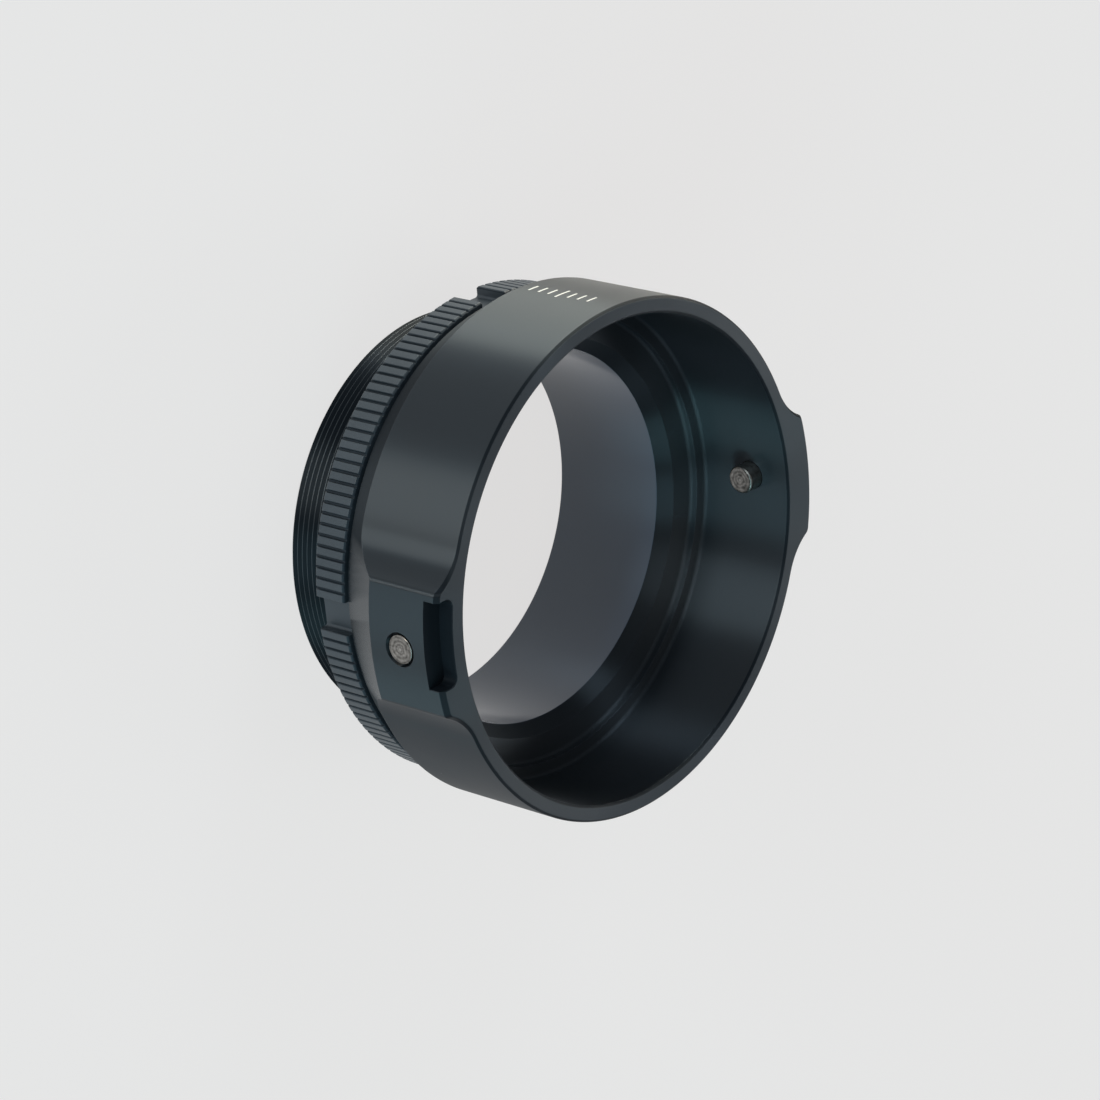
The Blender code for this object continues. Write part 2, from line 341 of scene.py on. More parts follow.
def barrel_outline():
    """(angle, radius) all round the barrel, with a pad and its coves on either side."""
    cove_centre_radius = BARREL_RADIUS + COVE_RADIUS
    pad_edge_angle = math.asin(PAD_WIDTH / 2 / PAD_RADIUS)
    cove_span = math.acos((cove_centre_radius**2 + PAD_RADIUS**2 - COVE_RADIUS**2)
                          / (2 * cove_centre_radius * PAD_RADIUS))
    cove_angle = pad_edge_angle + cove_span
    cove_centre = polar(cove_centre_radius, cove_angle)

    corner_centre_radius = PAD_RADIUS - PAD_CORNER_RADIUS
    corner_to_cove = COVE_RADIUS + PAD_CORNER_RADIUS
    corner_span = math.acos((corner_centre_radius**2 + cove_centre_radius**2 - corner_to_cove**2)
                            / (2 * corner_centre_radius * cove_centre_radius))
    corner_angle = cove_angle - corner_span
    corner_centre = polar(corner_centre_radius, corner_angle)
    towards_cove = math.atan2(cove_centre[1] - corner_centre[1], cove_centre[0] - corner_centre[0])

    pad = arc((0, 0), PAD_RADIUS, 0, corner_angle, PAD_STEPS)
    corner = arc(corner_centre, PAD_CORNER_RADIUS, corner_angle, towards_cove, CORNER_STEPS)
    cove = arc(cove_centre, COVE_RADIUS, towards_cove + math.pi, cove_angle + math.pi, COVE_STEPS)
    side = arc((0, 0), BARREL_RADIUS, cove_angle, math.pi / 2, BARREL_STEPS)
    points = pad + corner[1:] + cove[1:] + side[1:]
    quarter = [(math.atan2(y, x), math.hypot(x, y)) for x, y in points]
    half = quarter + [(math.pi - angle, radius) for angle, radius in reversed(quarter[:-1])]
    return half + [(angle + math.pi, radius) for angle, radius in half[1:-1]]


def front_profile(radius):
    """From the mouth of the socket over the rim and down the outside to the top of the thread.

    A point a little inside each edge of the rim and of the wall keeps their shading flat.
    """
    rise = (radius - BARREL_RADIUS) / (PAD_RADIUS - BARREL_RADIUS)
    edge = BARREL_EDGE + (PAD_EDGE - BARREL_EDGE) * rise
    cone_start = NECK_LENGTH + (radius - CONE_END_RADIUS) / math.tan(CONE_ANGLE)
    relief_end = NECK_LENGTH - RELIEF_WIDTH
    return eased([
        (SOCKET_RADIUS, LEDGE_LEVEL + 2 * STEP_FILLET),
        (SOCKET_RADIUS, FRONT - SOCKET_EDGE),
        (SOCKET_RADIUS + SOCKET_EDGE, FRONT),
        (SOCKET_RADIUS + SOCKET_EDGE + FLAT_MARGIN, FRONT),
        (radius - edge - FLAT_MARGIN, FRONT),
        (radius - edge, FRONT),
        (radius, FRONT - edge),
        (radius, FRONT - edge - FLAT_MARGIN),
        (radius, cone_start + FLAT_MARGIN),
        (radius, cone_start),
        (CONE_END_RADIUS, NECK_LENGTH),
        (RELIEF_RADIUS, NECK_LENGTH),
        (RELIEF_RADIUS, relief_end),
        (THREAD_ROOT, relief_end - (THREAD_ROOT - RELIEF_RADIUS)),
    ])


def rear_profile():
    """From the bottom of the thread round the rear end and up the bore to the socket's wall."""
    seat_corner = (SEAT_RADIUS - STEP_FILLET, SEAT_LEVEL + STEP_FILLET)
    ledge_corner = (SOCKET_RADIUS - STEP_FILLET, LEDGE_LEVEL + STEP_FILLET)
    points = [
        (THREAD_ROOT, THREAD_CHAMFER - THREAD_DEPTH),
        (THREAD_RADIUS - THREAD_CHAMFER, 0),
        (REAR_BORE_RADIUS + REAR_BORE_EDGE, 0),
        (REAR_BORE_RADIUS, REAR_BORE_EDGE),
        (REAR_BORE_RADIUS, SEAT_LEVEL - SEAT_CHAMFER),
        (REAR_BORE_RADIUS + SEAT_CHAMFER, SEAT_LEVEL),
    ]
    points += arc(seat_corner, STEP_FILLET, -math.pi / 2, 0, FILLET_STEPS)
    points.append((SEAT_RADIUS, LEDGE_LEVEL))
    points += arc(ledge_corner, STEP_FILLET, -math.pi / 2, 0, FILLET_STEPS)
    points.append((SOCKET_RADIUS, LEDGE_LEVEL + 2 * STEP_FILLET))
    return eased(points)[:-1]


def thread_column(turn, top, bottom):
    """The thread's section where it has made this part of a turn, cut off at both ends."""
    per_pitch = len(THREAD_SHAPE)
    rows = math.ceil((top - bottom) / THREAD_PITCH + 1) * per_pitch
    column = []
    for k in range(rows + 1):
        along, below = THREAD_SHAPE[k % per_pitch]
        z = top + THREAD_PITCH * (turn - k // per_pitch - along)
        z = min(max(z, bottom), top)
        crest_limit = min(THREAD_RADIUS, THREAD_ROOT + top - z, THREAD_ROOT + z - bottom)
        column.append((min(THREAD_RADIUS - below * THREAD_DEPTH, crest_limit), z))
    return column


def body_mesh():
    """The whole body, with the rows of the thread running on from one turn to the next."""
    outline = barrel_outline()
    rear = rear_profile()
    vertices = []
    for angle, radius in outline:
        front = front_profile(radius)
        thread = thread_column(angle / (2 * math.pi), front[-1][1], rear[0][1])
        section = front + thread[1:] + rear[1:]
        vertices += [(*polar(r, angle), z) for r, z in section]

    count = len(section)
    first_row = len(front) - 1
    thread_rows = range(first_row, first_row + len(thread))
    faces = []
    for i in range(len(outline)):
        seam = i + 1 == len(outline)
        here = i * count
        there = 0 if seam else here + count
        for k in range(count):
            ends = [k, (k + 1) % count]
            far = ends
            if seam:
                far = [max(e - len(THREAD_SHAPE), first_row) if e in thread_rows else e
                       for e in ends]
            face = (here + ends[0], here + ends[1], there + far[1], there + far[0])
            faces.append(tuple(dict.fromkeys(face)))
    return new_object("body_turned", vertices, [face for face in faces if len(face) > 2])


def slot_outline(grow):
    """Outline of the key slot, with its walls and its floor moved out by grow."""
    floor_radius = BARREL_RADIUS - grow
    fillet = SLOT_FILLET + grow
    low_wall = SLOT_OFFSET - SLOT_WIDTH / 2 - grow
    high_wall = SLOT_OFFSET + SLOT_WIDTH / 2 + grow

    def face_x(y):
        return -math.sqrt(PAD_RADIUS**2 - y**2)

    def corner(wall, side):
        centre_y = wall - side * fillet
        centre_x = -math.sqrt((floor_radius + fillet) ** 2 - centre_y**2)
        towards_axis = math.atan2(-centre_y, -centre_x)
        return arc((centre_x, centre_y), fillet, side * math.pi / 2, towards_axis, FILLET_STEPS)

    def flare(wall, side):
        """The wall's outer end, opening at 45 degrees where it meets the pad's face."""
        start = face_x(wall) + SLOT_EDGE
        return [(start - CUTTER_MARGIN, wall + side * CUTTER_MARGIN), (start, wall)]

    high = flare(high_wall, 1) + corner(high_wall, 1)
    low = list(reversed(flare(low_wall, -1) + corner(low_wall, -1)))
    floor_start = math.atan2(high[-1][1], high[-1][0])
    floor_end = math.atan2(low[0][1], low[0][0])
    floor = arc((0, 0), floor_radius, floor_start, floor_end, PAD_STEPS)
    return high + floor[1:-1] + low


def slot_cutter():
    levels = [
        (0, FRONT - SLOT_LENGTH),
        (0, FRONT - SLOT_EDGE),
        (SLOT_EDGE + CUTTER_MARGIN, FRONT + CUTTER_MARGIN),
    ]
    return loft("slot_cutter", [[(x, y, z) for x, y in slot_outline(grow)] for grow, z in levels])


def lay_along_pin(obj, side):
    """Turn a piece made about Z onto the pin axis, pointing out through one pad."""
    turn = Matrix.Rotation(side * math.pi / 2, 4, "Y")
    obj.data.transform(Matrix.Translation((0, 0, PIN_LEVEL)) @ turn)
    return obj


def pin_hole_cutter(side):
    """Close round the pin at the socket, and a little wider at the pad's face."""
    radius = PIN_RADIUS + PIN_GAP
    flare = PIN_HOLE_EDGE + CUTTER_MARGIN
    profile = [
        (PIN_RADIUS + PIN_FIT, SOCKET_RADIUS - CUTTER_MARGIN),
        (PIN_RADIUS + PIN_FIT, PAD_RADIUS - PIN_GAP_DEPTH),
        (radius, PAD_RADIUS - PIN_GAP_DEPTH),
        (radius, PAD_RADIUS - PIN_HOLE_EDGE),
        (radius + flare, PAD_RADIUS + CUTTER_MARGIN),
    ]
    return lay_along_pin(turned("pin_hole_cutter", profile, PIN_STEPS), side)


def make_body(material):
    body = body_mesh()
    cut(body, slot_cutter(), pin_hole_cutter(1), pin_hole_cutter(-1))
    finish_piece(body, material, "body", ["adapter_body"])


def make_pin(name, side, material, node):
    """Dowel with a chamfered tip in the socket and a faced head just under the pad's face."""
    profile = eased([
        (0, PIN_TIP),
        (PIN_RADIUS - PIN_TIP_CHAMFER, PIN_TIP),
        (PIN_RADIUS, PIN_TIP + PIN_TIP_CHAMFER),
        (PIN_RADIUS, PIN_HEAD - PIN_HEAD_CHAMFER),
        (PIN_RADIUS - PIN_HEAD_CHAMFER, PIN_HEAD),
        (0, PIN_HEAD),
    ])
    pin = turned(name, profile[1:-1], PIN_STEPS)
    lay_along_pin(pin, side)
    finish_piece(pin, material, "body", [node])


def knurl_outline():
    """(angle, radius) round the ring, with a straight groove between every two ribs."""
    pitch = 2 * math.pi / KNURL_COUNT
    half_groove = KNURL_WIDTH / 2 / RING_RADIUS
    ease = KNURL_EASE / RING_RADIUS
    half_floor = KNURL_FLOOR / 2 / RING_RADIUS
    dip = KNURL_EASE * KNURL_DEPTH / ((KNURL_WIDTH - KNURL_FLOOR) / 2)
    half_rib = pitch / 2 - half_groove
    outline = []
    for k in range(KNURL_COUNT):
        middle = k * pitch
        outline += [
            (middle - half_rib - ease, RING_RADIUS - dip),
            (middle - half_rib, RING_RADIUS - dip * RIB_CROWN),
            (middle - half_rib + ease, RING_RADIUS),
            (middle + half_rib - ease, RING_RADIUS),
            (middle + half_rib, RING_RADIUS - dip * RIB_CROWN),
            (middle + half_rib + ease, RING_RADIUS - dip),
            (middle + pitch / 2 - half_floor, RING_RADIUS - KNURL_DEPTH),
            (middle + pitch / 2 + half_floor, RING_RADIUS - KNURL_DEPTH),
        ]
    return outline


def notch_cutter(index):
    """Flat-bottomed notch with rounded inner corners, right through the ring's width."""
    floor = RING_RADIUS - NOTCH_DEPTH
    half = NOTCH_WIDTH / 2
    outside = RING_RADIUS + CUTTER_MARGIN
    low = arc((floor + NOTCH_FILLET, NOTCH_FILLET - half), NOTCH_FILLET, -math.pi / 2, -math.pi,
              FILLET_STEPS)
    high = [(x, -y) for x, y in reversed(low)]
    outline = [(outside, -half)] + low + high + [(outside, half)]
    heights = (RING_BACK - CUTTER_MARGIN, RING_BACK + RING_WIDTH + CUTTER_MARGIN)
    cutter = loft("notch_cutter", [[(x, y, z) for x, y in outline] for z in heights])
    cutter.data.transform(Matrix.Rotation(RING_TURN + 2 * math.pi * index / NOTCH_COUNT, 4, "Z"))
    return cutter


def make_ring(material):
    """Knurled ring: its section is swept round the knurl's outline, then the notches are cut."""
    top = RING_BACK + RING_WIDTH
    rows = eased([
        (RING_BORE_RADIUS, RING_BACK + RING_WIDTH / 2),
        (RING_BORE_RADIUS, RING_BACK + RING_BORE_EDGE),
        (RING_BORE_RADIUS + RING_BORE_EDGE, RING_BACK),
        (RING_RADIUS - RING_EDGE, RING_BACK),
        (RING_RADIUS, RING_BACK + RING_EDGE),
        (RING_RADIUS, top - RING_EDGE),
        (RING_RADIUS - RING_EDGE, top),
        (RING_BORE_RADIUS + RING_BORE_EDGE, top),
        (RING_BORE_RADIUS, top - RING_BORE_EDGE),
        (RING_BORE_RADIUS, RING_BACK + RING_WIDTH / 2),
    ])[:-1]
    outline = knurl_outline()
    loops = [
        [(*polar(min(limit, radius), angle + RING_TURN), z) for angle, radius in outline]
        for limit, z in rows
    ]
    ring = loft("ring_knurled", loops, closed=True)
    cut(ring, *[notch_cutter(index) for index in range(NOTCH_COUNT)])
    finish_piece(ring, material, "ring", ["lock_ring"])


class Nodes:
    """Short calls for building one material's nodes."""

    def __init__(self, name):
        self.material = bpy.data.materials.new(name)
        self.material.use_nodes = True
        self.tree = self.material.node_tree
        self.shader = self.tree.nodes["Principled BSDF"]
        self.output = self.tree.nodes["Material Output"]

    def add(self, kind, values=(), **settings):
        """Add a node, set its properties, and fill its inputs by name or number."""
        node = self.tree.nodes.new(kind)
        for key, value in settings.items():
            setattr(node, key, value)
        for key, value in dict(values).items():
            self.feed(node.inputs[key], value)
        return node

    def feed(self, socket, value):
        if isinstance(value, bpy.types.NodeSocket):
            self.tree.links.new(value, socket)
        else:
            socket.default_value = value

    def dress(self, values):
        """Fill the shader's inputs with what varies over the surface and with plain values."""
        for key, value in values.items():
            self.feed(self.shader.inputs[key], value)

    def math(self, operation, *values):
        return self.add("ShaderNodeMath", enumerate(values), operation=operation).outputs[0]

    def split(self, vector):
        """The three parts of a vector."""
        return self.add("ShaderNodeSeparateXYZ", {0: vector}).outputs

    def reach(self, a, b):
        """How far the point (a, b) is from the origin."""
        squares = [self.math("MULTIPLY", part, part) for part in (a, b)]
        return self.math("SQRT", self.math("ADD", *squares))

    def above(self, value, limit):
        """Mask of where a value in millimetres is more than a length in metres."""
        return self.math("GREATER_THAN", value, limit / MM)

    def below(self, value, limit):
        """Mask of where a value in millimetres is less than a length in metres."""
        return self.math("LESS_THAN", value, limit / MM)

    def every(self, tests):
        """One mask where all the tests hold."""
        mask = tests[0]
        for test in tests[1:]:
            mask = self.math("MULTIPLY", mask, test)
        return mask

    def span(self, value, low, high, out_low=0.0, out_high=1.0):
        """Map value from low..high to out_low..out_high, clamped."""
        ends = {"Value": value, "From Min": low, "From Max": high,
                "To Min": out_low, "To Max": out_high}
        return self.add("ShaderNodeMapRange", ends).outputs["Result"]

    def blend(self, factor, low, high):
        """Mix two colours by a factor."""
        node = self.add("ShaderNodeMix", data_type="RGBA")
        self.feed(node.inputs["Factor"], factor)
        self.feed(node.inputs["A"], low)
        self.feed(node.inputs["B"], high)
        return node.outputs["Result"]

    def noise(self, vector, scale, detail=2.0, roughness=0.5):
        values = {"Vector": vector, "Scale": scale, "Detail": detail, "Roughness": roughness}
        return self.add("ShaderNodeTexNoise", values).outputs[0]

    def bump(self, height, strength, distance, normal=None):
        values = {"Height": height, "Strength": strength, "Distance": distance}
        if normal is not None:
            values["Normal"] = normal
        return self.add("ShaderNodeBump", values).outputs["Normal"]


def millimetres(nodes):
    """Position in the piece's own frame, in millimetres."""
    place = nodes.add("ShaderNodeTexCoord").outputs["Object"]
    scaled = nodes.add("ShaderNodeVectorMath", {0: place, "Scale": 1 / MM}, operation="SCALE")
    return scaled.outputs["Vector"]


def axis_coordinates(nodes):
    """Position, distance from the ring's axis and height, in millimetres."""
    position = millimetres(nodes)
    x, y, z = nodes.split(position)
    return position, nodes.reach(x, y), z


def round_axis(nodes):
    """The way the lathe cut ran, so that highlights spread across it."""
    return nodes.add("ShaderNodeTangent", direction_type="RADIAL", axis="Z").outputs[0]


def turned_marks(nodes, radius, z, spacing):
    """Height of the fine lines that the lathe left, running round the axis."""
    along = nodes.math("ADD", nodes.math("MULTIPLY", radius, LATHE_SLOPE), z)
    line = nodes.add("ShaderNodeCombineXYZ", {"X": nodes.math("DIVIDE", along, spacing)})
    return nodes.noise(line.outputs[0], scale=1.0, detail=3.0, roughness=0.6)


def dust(nodes, position, cell, size, share):
    """Mask of small pale specks, at most one to a cell and in this share of the cells."""
    cells = nodes.add("ShaderNodeTexVoronoi", {"Vector": position, "Scale": 1 / cell})
    near = nodes.math("LESS_THAN", cells.outputs["Distance"], size / cell)
    chance = nodes.add("ShaderNodeSeparateColor", {0: cells.outputs["Color"]}).outputs[0]
    return nodes.math("MULTIPLY", near, nodes.math("LESS_THAN", chance, share))


def index_marks(nodes, position, radius):
    """Mask of a short plain scale of ticks on top of the barrel, one above the other."""
    x, y, z = nodes.split(position)
    turn = nodes.math("SUBTRACT", nodes.math("ARCTAN2", y, x), MARK_ANGLE)
    across = nodes.math("ABSOLUTE", nodes.math("MULTIPLY", turn, radius))
    along = nodes.math("DIVIDE", nodes.math("SUBTRACT", z, MARK_LEVEL / MM), MARK_SPACING / MM)
    tick = nodes.math("ROUND", along)
    number = nodes.math("ABSOLUTE", tick)
    off_line = nodes.math("ABSOLUTE", nodes.math("SUBTRACT", along, tick))
    is_middle = nodes.math("LESS_THAN", number, 0.5)
    extra = nodes.math("MULTIPLY", is_middle, MARK_EXTRA / MM)
    half_length = nodes.math("ADD", MARK_LENGTH / 2 / MM, extra)
    return nodes.every([
        nodes.math("LESS_THAN", off_line, MARK_WIDTH / 2 / MARK_SPACING),
        nodes.math("LESS_THAN", across, half_length),
        nodes.math("LESS_THAN", number, MARK_COUNT / 2),
        nodes.above(radius, BARREL_RADIUS - EASE),
    ])


def slot_with_painted_shade(nodes, position, radius):
    """Mask of the key slot's floor and walls, which a cutter left matt and which get painted shade
    in the recess.
    """
    x, y, z = nodes.split(position)
    off_middle = nodes.math("ABSOLUTE", nodes.math("SUBTRACT", y, SLOT_OFFSET / MM))
    return nodes.every([
        nodes.math("LESS_THAN", x, 0.0),
        nodes.below(off_middle, SLOT_WIDTH / 2 + MASK_MARGIN),
        nodes.above(radius, BARREL_RADIUS - MASK_MARGIN),
        nodes.above(z, FRONT - SLOT_LENGTH - MASK_MARGIN),
        nodes.below(z, FRONT - SLOT_EDGE),
    ])


def leaning(nodes, lean):
    """Mask of where the surface's normal leans up by this much, soft at both ends."""
    none_below, all_from, all_to, none_above = lean
    normal = nodes.add("ShaderNodeTexCoord").outputs["Normal"]
    up = nodes.split(normal)[2]
    return nodes.math("MULTIPLY", nodes.span(up, none_below, all_from),
                      nodes.span(up, all_to, none_above, 1.0, 0.0))


def ledge(nodes, radius, z):
    """Mask of the ledge in the socket, with the fillets on either side of it."""
    return nodes.every([
        nodes.above(radius, SEAT_RADIUS - 2 * STEP_FILLET),
        nodes.below(radius, SOCKET_RADIUS + MASK_MARGIN),
        nodes.below(z, LEDGE_LEVEL + 2 * STEP_FILLET + MASK_MARGIN),
    ])


def seat_chamfer(nodes, radius, z):
    """Mask of the chamfer between the rear bore and the seat."""
    return nodes.every([
        nodes.above(radius, REAR_BORE_RADIUS + MASK_MARGIN),
        nodes.below(radius, SEAT_RADIUS - 2 * STEP_FILLET),
        nodes.above(z, SEAT_LEVEL - SEAT_CHAMFER - MASK_MARGIN),
    ])


def cone_parts(nodes, position, z):
    """Masks of the cone's smooth parts, behind the pads, and of its matt parts, which also get
    painted shade.
    """
    end = NECK_LENGTH + (PAD_RADIUS - CONE_END_RADIUS) / math.tan(CONE_ANGLE)
    on_cone = nodes.every([
        nodes.above(z, NECK_LENGTH - MASK_MARGIN),
        nodes.below(z, end + MASK_MARGIN),
        leaning(nodes, CONE_LEAN),
    ])
    across = nodes.math("ABSOLUTE", nodes.split(position)[1])
    pad_end = PAD_WIDTH / 2
    behind_pad = nodes.span(across, pad_end / MM, (pad_end + CONE_FADE) / MM, 1.0, 0.0)
    smooth = nodes.math("MULTIPLY", on_cone, behind_pad)
    return smooth, nodes.math("SUBTRACT", on_cone, smooth)


def edges_with_painted_shade(nodes, radius, z):
    """How matt the body's chamfers and thread flanks are where they face up and out, and how much
    painted shade darkens their sheen there.
    """
    matt_and_shade_amount = nodes.span(ledge(nodes, radius, z), 0.0, 1.0, EDGE_MATT_AND_SHADE, LEDGE_MATT_AND_SHADE)
    matt_and_shade_amount = nodes.span(seat_chamfer(nodes, radius, z), 0.0, 1.0, matt_and_shade_amount, SEAT_MATT_AND_SHADE)
    return nodes.math("MULTIPLY", leaning(nodes, EDGE_LEAN), matt_and_shade_amount)


def black_anodised():
    """Satin black anodised aluminium with fine turned lines, with painted shade darkening the sheen
    in the key slot, on the chamfers facing up and on the cone away from the pads, and a painted
    reflection in the rear bore's lighter, bluish colour.
    """
    nodes = Nodes("black_anodised")
    position, radius, z = axis_coordinates(nodes)
    marks = turned_marks(nodes, radius, z, spacing=0.22)
    cloud = nodes.noise(position, scale=0.07, detail=4.0)
    grain = nodes.noise(position, scale=9.0, detail=2.0)
    specks = dust(nodes, position, cell=5.0, size=0.09, share=0.10)
    # The polished rear bore gets a coat, and a painted reflection in its colour
    polished_with_painted_reflection = nodes.below(radius, REAR_BORE_RADIUS + MASK_MARGIN)
    smooth_cone, shaded_matt_cone = cone_parts(nodes, position, z)
    # Painted shade: the slot, the chamfers facing up and the cone away from the pads get a darker
    # sheen, besides a matt finish
    painted_shade = nodes.math("MAXIMUM", slot_with_painted_shade(nodes, position, radius),
                      edges_with_painted_shade(nodes, radius, z))
    painted_shade = nodes.math("MAXIMUM", painted_shade, nodes.math("MULTIPLY", shaded_matt_cone, CONE_MATT_AND_SHADE))

    colour = nodes.blend(nodes.span(cloud, *NOISE_MIDDLE), *BLACK_TONES)
    colour = nodes.blend(nodes.math("MULTIPLY", specks, SPECK_COVER), colour, SPECK_COLOUR)
    colour = nodes.blend(index_marks(nodes, position, radius), colour, MARK_COLOUR)
    # Painted reflection: the rear bore's colour is lighter and bluish
    colour = nodes.blend(polished_with_painted_reflection, colour, REAR_BORE_PAINTED_REFLECTION)
    colour = nodes.blend(painted_shade, colour, MATT_BLACK)
    rough = nodes.math("ADD", nodes.span(cloud, *NOISE_WIDE, *ANODISED_ROUGHNESS),
                       nodes.span(grain, *NOISE_FULL, *ANODISED_GRAIN))
    rough = nodes.math("MAXIMUM", rough, nodes.math("MULTIPLY", painted_shade, MATT_ROUGHNESS))
    rough = nodes.span(smooth_cone, 0.0, 1.0, rough, SMOOTH_CONE_ROUGHNESS)
    fine = nodes.bump(grain, strength=0.12, distance=0.004 * MM)
    nodes.dress({
        "Base Color": colour,
        "Roughness": rough,
        "Normal": nodes.bump(marks, strength=0.25, distance=0.006 * MM, normal=fine),
        "Tangent": round_axis(nodes),
        "Specular IOR Level": ANODISED_SPECULAR,
        "Specular Tint": nodes.blend(painted_shade, SHEEN_COLOUR, PAINTED_SHADE_SHEEN_COLOUR),
        "Anisotropic": LATHE_ANISOTROPY,
        "Anisotropic Rotation": ACROSS_THE_LATHE,
        "Coat Weight": polished_with_painted_reflection,
        "Coat Roughness": REAR_BORE_POLISH,
        "Coat IOR": REAR_BORE_IOR,
    })
    return nodes.material


def knurled_anodised():
    """The same finish on the lock ring, a little rougher where the knurling tool pressed it, with
    painted shade darkening the sheen in the grooves and on the chamfers facing up.
    """
    nodes = Nodes("knurled_anodised")
    position, radius, z = axis_coordinates(nodes)
    marks = turned_marks(nodes, radius, z, spacing=0.30)
    cloud = nodes.noise(position, scale=0.15, detail=3.0)
    grain = nodes.noise(position, scale=7.0, detail=3.0)
    specks = dust(nodes, position, cell=4.0, size=0.09, share=0.12)
    groove_floor = RING_RADIUS - KNURL_DEPTH
    crest = nodes.span(radius, groove_floor / MM, RING_RADIUS / MM)
    # Painted shade: the grooves' sheen darkens towards their floor, and so does that of the
    # chamfers facing up
    groove = nodes.math("MULTIPLY", nodes.above(radius, groove_floor - MASK_MARGIN),
                        nodes.span(radius, groove_floor / MM, RING_RADIUS / MM,
                                   GROOVE_SHADE, 0.0))
    painted_shade = nodes.math("MAXIMUM", leaning(nodes, EDGE_LEAN), groove)
    wear = nodes.math("MULTIPLY", crest, nodes.span(grain, *WEAR_NOISE, *WEAR_SHARE))

    colour = nodes.blend(nodes.span(cloud, *NOISE_MIDDLE), *KNURLED_TONES)
    colour = nodes.blend(wear, colour, WORN_COLOUR)
    colour = nodes.blend(nodes.math("MULTIPLY", specks, SPECK_COVER), colour, SPECK_COLOUR)
    rough = nodes.math("ADD", nodes.span(cloud, *NOISE_WIDE, *KNURLED_ROUGHNESS),
                       nodes.span(grain, *NOISE_FULL, *KNURLED_GRAIN))
    fine = nodes.bump(grain, strength=0.3, distance=0.006 * MM)
    nodes.dress({
        "Base Color": colour,
        "Roughness": rough,
        "Normal": nodes.bump(marks, strength=0.2, distance=0.006 * MM, normal=fine),
        "Specular IOR Level": KNURLED_SPECULAR,
        "Specular Tint": nodes.blend(painted_shade, SHEEN_COLOUR, PAINTED_SHADE_SHEEN_COLOUR),
    })
    return nodes.material


def pin_steel():
    """Bright steel with the rings of a facing cut on its ends, stained a little, and a painted
    highlight at the middle of each end.
    """
    nodes = Nodes("pin_steel")
    position = millimetres(nodes)
    x, y, z = nodes.split(position)
    from_axis = nodes.reach(y, nodes.math("SUBTRACT", z, PIN_LEVEL / MM))
    wander = nodes.span(nodes.noise(position, scale=0.8, detail=3.0), *NOISE_FULL,
                        0.0, FACING_WANDER)
    along = nodes.math("ADD", from_axis, wander)
    rings = nodes.math("COSINE", nodes.math("MULTIPLY", along, 2 * math.pi / FACING_SPACING))
    # Painted highlight: a pale spot at the middle of each end
    centre = nodes.span(from_axis, PAINTED_HIGHLIGHT_RADIUS, 2 * PAINTED_HIGHLIGHT_RADIUS, 1.0, 0.0)
    stain = nodes.noise(position, scale=1.3, detail=4.0, roughness=0.65)
    grain = nodes.noise(position, scale=9.0, detail=3.0)

    tone = nodes.math("ADD", nodes.span(stain, *NOISE_CORE, 0.0, STAIN_TONE),
                      nodes.span(rings, -1, 1, 0.0, FACING_TONE))
    tone = nodes.math("MAXIMUM", tone, centre)
    height = nodes.math("ADD", nodes.math("MULTIPLY", rings, FACING_RELIEF),
                        nodes.math("MULTIPLY", stain, STAIN_RELIEF))
    fine = nodes.bump(grain, strength=0.35, distance=0.010 * MM)
    nodes.dress({
        "Base Color": nodes.blend(tone, *STEEL_TONES),
        "Roughness": nodes.span(stain, *NOISE_MIDDLE, *STEEL_ROUGHNESS),
        "Normal": nodes.bump(height, strength=0.6, distance=0.02 * MM, normal=fine),
        "Metallic": 1.0,
    })
    return nodes.material


# FLOOR_GLOW_SHARE is the share of the floor's colour that shows without any lamp on it
FLOOR_SIZE = 12.0
FLOOR_COLOUR = (0.865, 0.855, 0.850, 1)
FLOOR_GLOW_SHARE = 0.8


def pale_floor():
    """Plain pale floor, evenly pale to the camera and in reflections, and still with its shadow."""
    nodes = Nodes("pale_floor")
    path = nodes.add("ShaderNodeLightPath").outputs
    seen = nodes.math("MAXIMUM", path["Is Camera Ray"],
                      nodes.math("MAXIMUM", path["Is Glossy Ray"], path["Is Transmission Ray"]))
    paint = nodes.add("ShaderNodeBsdfDiffuse", {"Color": FLOOR_COLOUR}).outputs[0]
    glow = nodes.add("ShaderNodeEmission", {"Color": FLOOR_COLOUR, "Strength": 1.0}).outputs[0]
    share = nodes.math("MULTIPLY", seen, FLOOR_GLOW_SHARE)
    mixed = nodes.add("ShaderNodeMixShader", {0: share, 1: paint, 2: glow}).outputs[0]
    nodes.feed(nodes.output.inputs["Surface"], mixed)
    nodes.tree.nodes.remove(nodes.shader)
    return nodes.material


def make_floor():
    half = FLOOR_SIZE / 2
    corners = [(-half, -half, 0), (half, -half, 0), (half, half, 0), (-half, half, 0)]
    mesh = bpy.data.meshes.new("floor")
    mesh.from_pydata(corners, [], [(0, 1, 2, 3)])
    floor = bpy.data.objects.new("floor", mesh)
    bpy.context.collection.objects.link(floor)
    mesh.materials.append(pale_floor())


def soft_light(name, azimuth, elevation, distance, size, power, colour):
    """Soft box that faces the ring. Azimuth turns from +X towards +Y, and both are in degrees."""
    lift = math.radians(elevation)
    towards = Vector((*polar(math.cos(lift), math.radians(azimuth)), math.sin(lift)))
    data = bpy.data.lights.new(name, "AREA")
    data.shape = "RECTANGLE"
    data.size, data.size_y = size
    data.energy = power
    data.color = colour
    light = bpy.data.objects.new(name, data)
    light.location = towards * distance + Vector((0, 0, FRONT / 2))
    light.rotation_mode = "QUATERNION"
    light.rotation_quaternion = towards.to_track_quat("Z", "Y")
    light.visible_camera = False
    bpy.context.collection.objects.link(light)


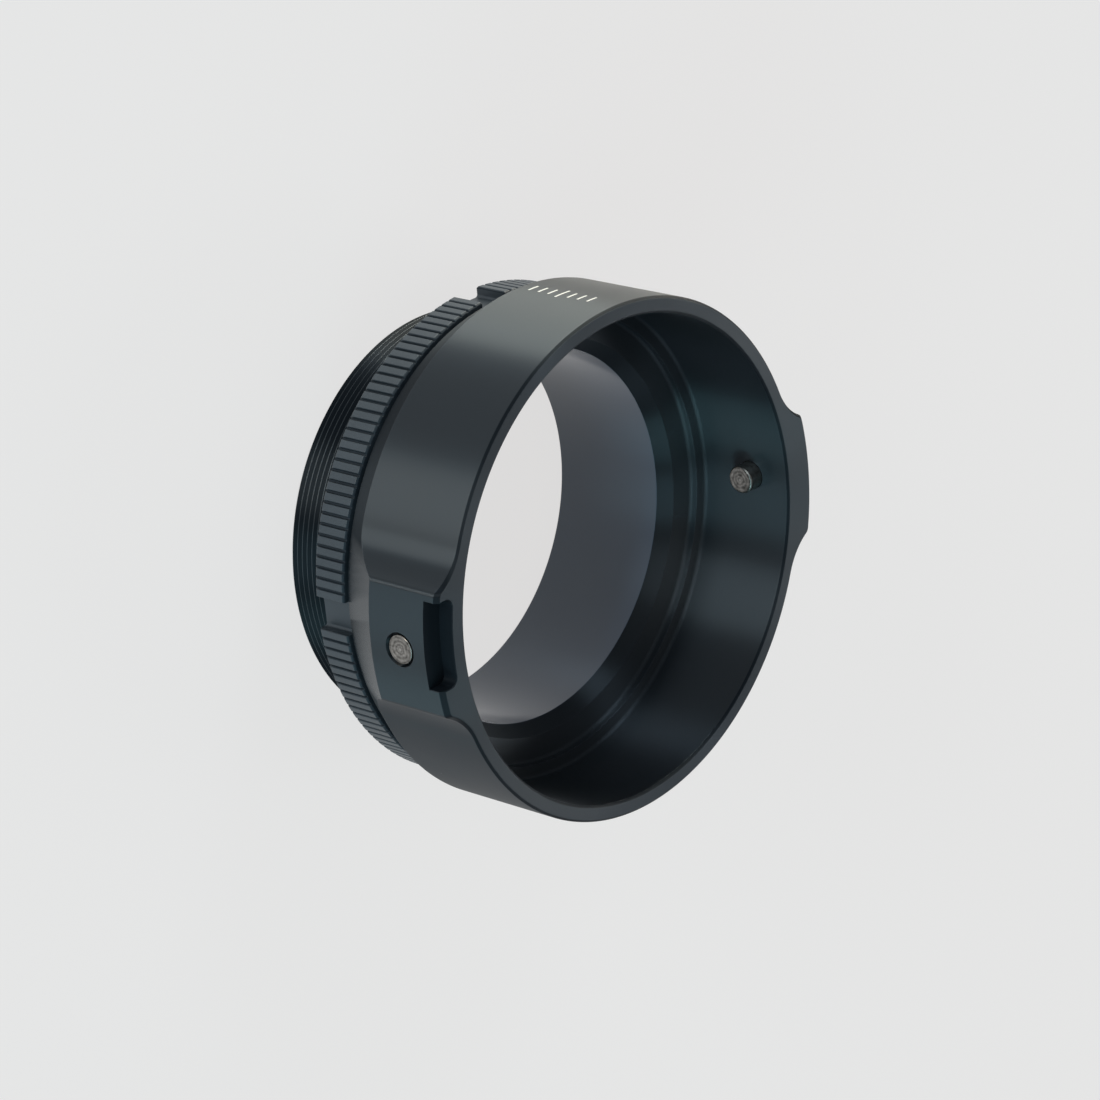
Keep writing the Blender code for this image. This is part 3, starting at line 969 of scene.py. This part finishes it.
# Soft boxes: azimuth, elevation, distance, size, power and colour. The strips stand so low that
# they light the outside of the ring and leave the inside of the socket dark.
SOFT_BOXES = {
    "key_strip": (64, 0.4, 2.0, (1.4, 0.05), 41, (1.0, 0.96, 0.82)),
    "top_strip": (28, 0.4, 2.0, (1.2, 0.05), 17, (1.0, 0.90, 0.74)),
    "left_strip": (150, 0.4, 2.0, (1.0, 0.05), 6.5, (1.0, 0.80, 0.60)),
    "key_high": (75, 30, 2.0, (0.6, 0.6), 4.5, (0.74, 0.88, 1.0)),
    "left_front": (148, 15, 2.0, (1.0, 0.4), 13, (0.86, 0.97, 1.0)),
    "left": (190, 22, 2.0, (0.9, 0.5), 8.5, (0.60, 0.92, 1.0)),
    "left_low": (225, 22, 2.0, (0.9, 0.5), 8.8, (0.54, 0.94, 1.0)),
    "under": (265, 30, 2.0, (0.8, 0.5), 1.2, (0.70, 0.88, 1.0)),
    "right": (-14, 27, 0.8, (0.35, 0.35), 0.4, (1.0, 0.98, 0.92)),
    "rim": (-26, 42, 2.0, (0.5, 0.5), 2.6, (0.92, 0.96, 1.0)),
    "overhead": (0, 88, 1.6, (0.8, 0.8), 1.2, (1.0, 0.94, 0.86)),
}
WORLD_COLOUR = (0.95, 0.97, 1.0, 1)
WORLD_STRENGTH = 0.2


def make_light():
    world = bpy.data.worlds.new("studio")
    world.use_nodes = True
    background = world.node_tree.nodes["Background"]
    background.inputs["Color"].default_value = WORLD_COLOUR
    background.inputs["Strength"].default_value = WORLD_STRENGTH
    bpy.context.scene.world = world
    for name, values in SOFT_BOXES.items():
        soft_light(name, *values)


# The view of the photograph: metres, unit vectors, and millimetres for the lens and the sensor
CAMERA_PLACE = (-0.4209687, 0.2233097, 0.4132257)
CAMERA_RIGHT = (0.65517699, -0.07692807, 0.75154852)
CAMERA_UP = (0.32288413, 0.9278806, -0.18650318)
CAMERA_LENS = 132.77
CAMERA_SENSOR = 36.0
CAMERA_CLIP = (0.01, 50)


def make_camera():
    """The photograph's view, rolled so that the ring looks as if it lay on its side."""
    data = bpy.data.cameras.new("camera")
    data.sensor_width = CAMERA_SENSOR
    data.lens = CAMERA_LENS
    data.clip_start, data.clip_end = CAMERA_CLIP
    camera = bpy.data.objects.new("camera", data)
    right = Vector(CAMERA_RIGHT)
    up = Vector(CAMERA_UP)
    turn = Matrix((right, up, right.cross(up))).transposed().to_4x4()
    camera.matrix_world = Matrix.Translation(CAMERA_PLACE) @ turn
    bpy.context.collection.objects.link(camera)
    bpy.context.scene.camera = camera


def main():
    make_camera()
    make_floor()
    make_light()
    bpy.context.scene.view_settings.view_transform = "Standard"
    make_body(black_anodised())
    make_ring(knurled_anodised())
    steel = pin_steel()
    make_pin("pin_right", 1, steel, "bayonet_pin_right")
    make_pin("pin_left", -1, steel, "bayonet_pin_left")


main()
